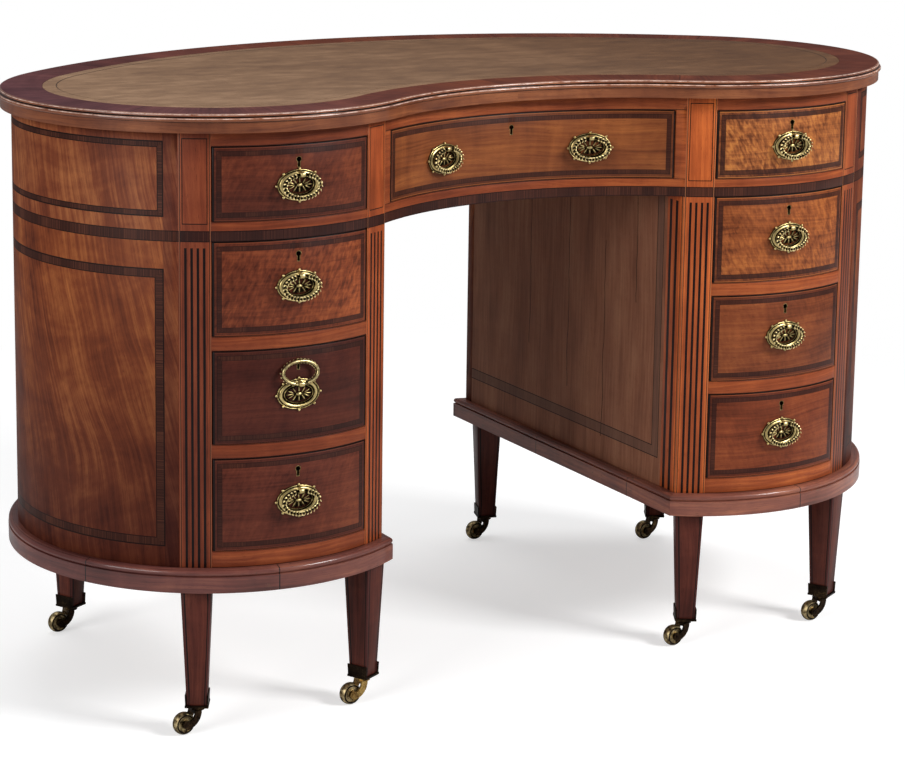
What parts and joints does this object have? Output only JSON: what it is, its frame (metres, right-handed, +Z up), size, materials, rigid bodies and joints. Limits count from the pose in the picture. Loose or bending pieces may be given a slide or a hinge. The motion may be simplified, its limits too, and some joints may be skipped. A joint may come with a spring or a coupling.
{
  "type": "kneehole writing desk",
  "caption": "Kidney-shaped kneehole writing desk: two pedestals of bowed drawers under a leather-lined top, on tapered legs with swivelling castors.",
  "frame": {"origin": "on the floor, midway across the desk's width and depth, handles included", "axes": "+X towards the desk's right-hand end as its user sees it, +Y from the drawer fronts to the back, +Z up"},
  "size_m": [1.2218, 0.6479, 0.7474],
  "materials": {
    "top_veneer": "polished dark veneer",
    "leather": "worn brown leather",
    "panel_veneer": "polished figured veneer",
    "kneehole_veneer": "dull old veneer",
    "rail_veneer": "polished light veneer",
    "lining_wood": "bare wood",
    "leg_wood": "polished dark wood",
    "drawer_veneer": "polished figured veneer",
    "handle_brass": "aged brass",
    "castor_brass": "dark aged brass"
  },
  "bodies": {
    "desk": {"top_board": "top_veneer", "leather_lining": "leather", "left_end_panel": "panel_veneer", "right_end_panel": "panel_veneer", "left_inner_side": "kneehole_veneer", "right_inner_side": "kneehole_veneer", "front_stiles": "rail_veneer", "left_drawer_rails": "rail_veneer", "right_drawer_rails": "rail_veneer", "dust_boards": "lining_wood", "centre_frame": "rail_veneer", "back_frieze": "panel_veneer", "left_plinth": "top_veneer", "right_plinth": "top_veneer", "legs": "leg_wood", "castor_cups": "castor_brass"},
    "centre_drawer": {"centre_drawer": "drawer_veneer", "centre_brasses": "handle_brass"},
    "left_drawer_1": {"left_drawer_1": "drawer_veneer", "left_brasses_1": "handle_brass"},
    "left_drawer_2": {"left_drawer_2": "drawer_veneer", "left_brasses_2": "handle_brass"},
    "left_drawer_3": {"left_drawer_3": "drawer_veneer", "left_brasses_3": "handle_brass"},
    "left_drawer_4": {"left_drawer_4": "drawer_veneer", "left_brasses_4": "handle_brass"},
    "right_drawer_1": {"right_drawer_1": "drawer_veneer", "right_brasses_1": "handle_brass"},
    "right_drawer_2": {"right_drawer_2": "drawer_veneer", "right_brasses_2": "handle_brass"},
    "right_drawer_3": {"right_drawer_3": "drawer_veneer", "right_brasses_3": "handle_brass"},
    "right_drawer_4": {"right_drawer_4": "drawer_veneer", "right_brasses_4": "handle_brass"},
    "centre_bail_left": {"centre_bail_left": "handle_brass"},
    "centre_bail_right": {"centre_bail_right": "handle_brass"},
    "left_bail_1": {"left_bail_1": "handle_brass"},
    "left_bail_2": {"left_bail_2": "handle_brass"},
    "left_bail_3": {"left_bail_3": "handle_brass"},
    "left_bail_4": {"left_bail_4": "handle_brass"},
    "right_bail_1": {"right_bail_1": "handle_brass"},
    "right_bail_2": {"right_bail_2": "handle_brass"},
    "right_bail_3": {"right_bail_3": "handle_brass"},
    "right_bail_4": {"right_bail_4": "handle_brass"},
    "horn_1": {"horn_1": "castor_brass"},
    "wheel_1": {"wheel_1": "castor_brass"},
    "horn_2": {"horn_2": "castor_brass"},
    "wheel_2": {"wheel_2": "castor_brass"},
    "horn_3": {"horn_3": "castor_brass"},
    "wheel_3": {"wheel_3": "castor_brass"},
    "horn_4": {"horn_4": "castor_brass"},
    "wheel_4": {"wheel_4": "castor_brass"},
    "horn_5": {"horn_5": "castor_brass"},
    "wheel_5": {"wheel_5": "castor_brass"},
    "horn_6": {"horn_6": "castor_brass"},
    "wheel_6": {"wheel_6": "castor_brass"},
    "horn_7": {"horn_7": "castor_brass"},
    "wheel_7": {"wheel_7": "castor_brass"},
    "horn_8": {"horn_8": "castor_brass"},
    "wheel_8": {"wheel_8": "castor_brass"}
  },
  "joints": [
    {"name": "centre_drawer_slide", "type": "slide", "parent": "desk", "child": "centre_drawer", "axis": [0, -1, 0], "range_m": [0, 0.32]},
    {"name": "left_drawer_1_slide", "type": "slide", "parent": "desk", "child": "left_drawer_1", "axis": [0, -1, 0], "range_m": [0, 0.3]},
    {"name": "left_drawer_2_slide", "type": "slide", "parent": "desk", "child": "left_drawer_2", "axis": [0, -1, 0], "range_m": [0, 0.3]},
    {"name": "left_drawer_3_slide", "type": "slide", "parent": "desk", "child": "left_drawer_3", "axis": [0, -1, 0], "range_m": [0, 0.3]},
    {"name": "left_drawer_4_slide", "type": "slide", "parent": "desk", "child": "left_drawer_4", "axis": [0, -1, 0], "range_m": [0, 0.3]},
    {"name": "right_drawer_1_slide", "type": "slide", "parent": "desk", "child": "right_drawer_1", "axis": [0, -1, 0], "range_m": [0, 0.3]},
    {"name": "right_drawer_2_slide", "type": "slide", "parent": "desk", "child": "right_drawer_2", "axis": [0, -1, 0], "range_m": [0, 0.3]},
    {"name": "right_drawer_3_slide", "type": "slide", "parent": "desk", "child": "right_drawer_3", "axis": [0, -1, 0], "range_m": [0, 0.3]},
    {"name": "right_drawer_4_slide", "type": "slide", "parent": "desk", "child": "right_drawer_4", "axis": [0, -1, 0], "range_m": [0, 0.3]},
    {"name": "centre_bail_left_lift", "type": "hinge", "parent": "centre_drawer", "child": "centre_bail_left", "pos_m": [-0.10352, -0.22339, 0.67325], "axis": [-0.9576, -0.2882, 0], "range_deg": [0, 188]},
    {"name": "centre_bail_right_lift", "type": "hinge", "parent": "centre_drawer", "child": "centre_bail_right", "pos_m": [0.10352, -0.22339, 0.67325], "axis": [-0.9576, 0.2882, 0], "range_deg": [0, 188]},
    {"name": "left_bail_1_lift", "type": "hinge", "parent": "left_drawer_1", "child": "left_bail_1", "pos_m": [-0.35, -0.31815, 0.67325], "axis": [-1, 0, 0], "range_deg": [0, 188]},
    {"name": "left_bail_2_lift", "type": "hinge", "parent": "left_drawer_2", "child": "left_bail_2", "pos_m": [-0.35, -0.31815, 0.5545], "axis": [-1, 0, 0], "range_deg": [0, 188]},
    {"name": "left_bail_3_lift", "type": "hinge", "parent": "left_drawer_3", "child": "left_bail_3", "pos_m": [-0.35, -0.31815, 0.4255], "axis": [-1, 0, 0], "range_deg": [-188, 0]},
    {"name": "left_bail_4_lift", "type": "hinge", "parent": "left_drawer_4", "child": "left_bail_4", "pos_m": [-0.35, -0.31815, 0.2965], "axis": [-1, 0, 0], "range_deg": [0, 188]},
    {"name": "right_bail_1_lift", "type": "hinge", "parent": "right_drawer_1", "child": "right_bail_1", "pos_m": [0.35, -0.31815, 0.67325], "axis": [-1, 0, 0], "range_deg": [0, 188]},
    {"name": "right_bail_2_lift", "type": "hinge", "parent": "right_drawer_2", "child": "right_bail_2", "pos_m": [0.35, -0.31815, 0.5545], "axis": [-1, 0, 0], "range_deg": [0, 188]},
    {"name": "right_bail_3_lift", "type": "hinge", "parent": "right_drawer_3", "child": "right_bail_3", "pos_m": [0.35, -0.31815, 0.4255], "axis": [-1, 0, 0], "range_deg": [0, 188]},
    {"name": "right_bail_4_lift", "type": "hinge", "parent": "right_drawer_4", "child": "right_bail_4", "pos_m": [0.35, -0.31815, 0.2965], "axis": [-1, 0, 0], "range_deg": [0, 188]},
    {"name": "castor_1_swivel", "type": "hinge", "parent": "desk", "child": "horn_1", "pos_m": [-0.46151, -0.26671, 0.036], "axis": [0, 0, 1], "continuous": true},
    {"name": "castor_2_swivel", "type": "hinge", "parent": "desk", "child": "horn_2", "pos_m": [-0.23849, -0.26671, 0.036], "axis": [0, 0, 1], "continuous": true},
    {"name": "castor_3_swivel", "type": "hinge", "parent": "desk", "child": "horn_3", "pos_m": [-0.46344, 0.13911, 0.036], "axis": [0, 0, 1], "continuous": true},
    {"name": "castor_4_swivel", "type": "hinge", "parent": "desk", "child": "horn_4", "pos_m": [-0.2365, 0.24844, 0.036], "axis": [0, 0, 1], "continuous": true},
    {"name": "castor_5_swivel", "type": "hinge", "parent": "desk", "child": "horn_5", "pos_m": [0.46151, -0.26671, 0.036], "axis": [0, 0, 1], "continuous": true},
    {"name": "castor_6_swivel", "type": "hinge", "parent": "desk", "child": "horn_6", "pos_m": [0.23849, -0.26671, 0.036], "axis": [0, 0, 1], "continuous": true},
    {"name": "castor_7_swivel", "type": "hinge", "parent": "desk", "child": "horn_7", "pos_m": [0.46344, 0.13911, 0.036], "axis": [0, 0, 1], "continuous": true},
    {"name": "castor_8_swivel", "type": "hinge", "parent": "desk", "child": "horn_8", "pos_m": [0.2365, 0.24844, 0.036], "axis": [0, 0, 1], "continuous": true},
    {"name": "castor_1_roll", "type": "hinge", "parent": "horn_1", "child": "wheel_1", "pos_m": [-0.48043, -0.26837, 0.01375], "axis": [0.0872, -0.9962, 0], "continuous": true},
    {"name": "castor_2_roll", "type": "hinge", "parent": "horn_2", "child": "wheel_2", "pos_m": [-0.25742, -0.26837, 0.01375], "axis": [0.0872, -0.9962, 0], "continuous": true},
    {"name": "castor_3_roll", "type": "hinge", "parent": "horn_3", "child": "wheel_3", "pos_m": [-0.48237, 0.13745, 0.01375], "axis": [0.0872, -0.9962, 0], "continuous": true},
    {"name": "castor_4_roll", "type": "hinge", "parent": "horn_4", "child": "wheel_4", "pos_m": [-0.25543, 0.24678, 0.01375], "axis": [0.0872, -0.9962, 0], "continuous": true},
    {"name": "castor_5_roll", "type": "hinge", "parent": "horn_5", "child": "wheel_5", "pos_m": [0.44258, -0.26837, 0.01375], "axis": [0.0872, -0.9962, 0], "continuous": true},
    {"name": "castor_6_roll", "type": "hinge", "parent": "horn_6", "child": "wheel_6", "pos_m": [0.21957, -0.26837, 0.01375], "axis": [0.0872, -0.9962, 0], "continuous": true},
    {"name": "castor_7_roll", "type": "hinge", "parent": "horn_7", "child": "wheel_7", "pos_m": [0.44452, 0.13745, 0.01375], "axis": [0.0872, -0.9962, 0], "continuous": true},
    {"name": "castor_8_roll", "type": "hinge", "parent": "horn_8", "child": "wheel_8", "pos_m": [0.21757, 0.24678, 0.01375], "axis": [0.0872, -0.9962, 0], "continuous": true}
  ]
}
